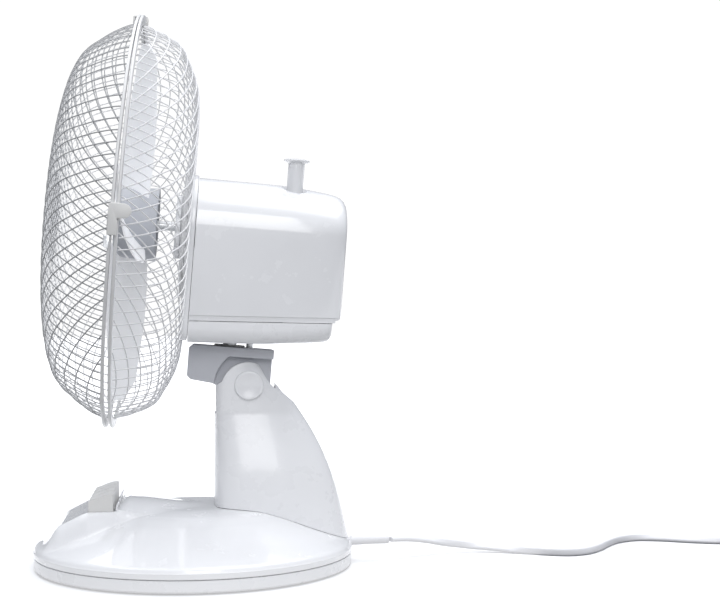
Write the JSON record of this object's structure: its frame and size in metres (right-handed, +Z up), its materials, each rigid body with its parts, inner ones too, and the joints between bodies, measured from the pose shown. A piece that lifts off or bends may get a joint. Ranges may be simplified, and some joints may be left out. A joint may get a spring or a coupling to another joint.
{
  "type": "desk fan",
  "caption": "Oscillating desk fan with a caged axial blade, arched motor housing, tilting neck, tapered column and round base with a row of speed keys.",
  "frame": {"origin": "on the floor under the middle of the round base", "axes": "+Z up, -X the way the fan blows, +Y to the fan's left side as seen from behind it"},
  "size_m": [0.5853, 0.2874, 0.3579],
  "materials": {
    "white_plastic": "glossy white",
    "warm_plastic": "satin warm grey",
    "grey_plastic": "satin mid grey",
    "frosted_plastic": "smooth pale grey",
    "wire": "white powder-coated wire",
    "steel": "plain steel",
    "cast_iron": "cast",
    "copper": "varnished copper wire",
    "brass": "sintered bronze bush",
    "rubber": "matte grey rubber",
    "cord": "satin white flexible PVC"
  },
  "bodies": {
    "base": {"base_plate": "white_plastic", "base_cover": "white_plastic", "rubber_foot_1": "rubber", "rubber_foot_2": "rubber", "rubber_foot_3": "rubber", "rubber_foot_4": "rubber", "base_screw_1": "steel", "base_screw_2": "steel", "base_screw_3": "steel", "ballast_weight": "cast_iron", "switch_block": "warm_plastic", "cord_clamp": "warm_plastic", "column": "white_plastic", "column_screw_1": "steel", "column_screw_2": "steel", "pivot_bolt": "steel", "pivot_cap_near": "white_plastic", "pivot_cap_far": "white_plastic", "strain_relief": "cord", "mains_lead": "cord", "lead_coil": "cord", "coil_tie": "rubber", "mains_plug": "cord"},
    "key_1": {"key_1": "warm_plastic"},
    "key_2": {"key_2": "warm_plastic"},
    "key_3": {"key_3": "warm_plastic"},
    "key_4": {"key_4": "warm_plastic"},
    "tilt_block": {"tilt_block": "grey_plastic", "swivel_bush": "warm_plastic", "crank_pin": "steel"},
    "head": {"motor_housing": "white_plastic", "housing_lower_cover": "white_plastic", "front_flange": "white_plastic", "front_bracket": "steel", "rear_bracket": "steel", "front_bush": "brass", "rear_bush": "brass", "stator_core": "steel", "front_winding": "copper", "rear_winding": "copper", "motor_bolt_1": "steel", "motor_bolt_2": "steel", "gearbox_case": "warm_plastic", "swivel_cradle": "steel", "swivel_post": "steel", "front_guard": "wire", "rear_guard": "wire", "guard_badge": "white_plastic", "guard_nut": "white_plastic", "top_hook": "warm_plastic"},
    "guard_clip_near": {"guard_clip_near": "warm_plastic"},
    "guard_clip_far": {"guard_clip_far": "warm_plastic"},
    "rotor": {"rotor_core": "steel", "motor_shaft": "steel", "fan_blade": "frosted_plastic", "blade_nut": "warm_plastic"},
    "worm_wheel": {"worm_wheel": "warm_plastic"},
    "crank": {"crank_disc": "warm_plastic"},
    "link": {"link_arm": "steel"},
    "knob": {"oscillation_knob": "white_plastic"}
  },
  "joints": [
    {"name": "head_tilt", "type": "hinge", "parent": "base", "child": "tilt_block", "pos_m": [0.0346, 0, 0.1173], "axis": [0, 1, 0], "range_deg": [-15, 20]},
    {"name": "head_oscillation", "type": "hinge", "parent": "tilt_block", "child": "head", "pos_m": [0.02218, 0, 0.13831], "axis": [0.0767, 0, 0.9971], "range_deg": [-35, 35]},
    {"name": "blade_spin", "type": "hinge", "parent": "head", "child": "rotor", "pos_m": [-0.03756, 0, 0.22224], "axis": [0.9971, 0, -0.0767], "continuous": true},
    {"name": "worm_wheel_turn", "type": "hinge", "parent": "head", "child": "worm_wheel", "pos_m": [0.06204, -0.014, 0.21448], "axis": [0.0767, 0, 0.9971], "continuous": true},
    {"name": "crank_turn", "type": "hinge", "parent": "head", "child": "crank", "pos_m": [0.05812, -0.014, 0.16363], "axis": [0.0767, 0, 0.9971], "range_deg": [-95, 95]},
    {"name": "link_swing", "type": "hinge", "parent": "head", "child": "link", "pos_m": [0.05375, -0.007, 0.15895], "axis": [0.0767, 0, 0.9971], "range_deg": [-20, 20]},
    {"name": "knob_slide", "type": "slide", "parent": "head", "child": "knob", "axis": [0.0767, 0, 0.9971], "range_m": [-0.008, 0]},
    {"name": "key_1_press", "type": "slide", "parent": "base", "child": "key_1", "axis": [0, 0, -1], "range_m": [0, 0.0045], "stiffness_N_per_m": 350, "springref_m": -0.002},
    {"name": "key_2_press", "type": "slide", "parent": "base", "child": "key_2", "axis": [0, 0, -1], "range_m": [0, 0.0045], "stiffness_N_per_m": 350, "springref_m": -0.002},
    {"name": "key_3_press", "type": "slide", "parent": "base", "child": "key_3", "axis": [0, 0, -1], "range_m": [0, 0.0045], "stiffness_N_per_m": 350, "springref_m": -0.002},
    {"name": "key_4_press", "type": "slide", "parent": "base", "child": "key_4", "axis": [0, 0, -1], "range_m": [0, 0.0045], "stiffness_N_per_m": 350, "springref_m": -0.002},
    {"name": "clip_near_hinge", "type": "hinge", "parent": "head", "child": "guard_clip_near", "pos_m": [-0.04556, -0.1355, 0.22517], "axis": [0.9971, 0, -0.0767], "range_deg": [-60, 0]},
    {"name": "clip_far_hinge", "type": "hinge", "parent": "head", "child": "guard_clip_far", "pos_m": [-0.04556, 0.1355, 0.22517], "axis": [0.9971, 0, -0.0767], "range_deg": [0, 60]}
  ],
  "couplings": [
    {"joint": "worm_wheel_turn", "follows": "blade_spin", "ratio": 0.027778},
    {"joint": "crank_turn", "follows": "head_oscillation", "ratio": 2.4},
    {"joint": "link_swing", "follows": "head_oscillation", "ratio": 0.45}
  ]
}
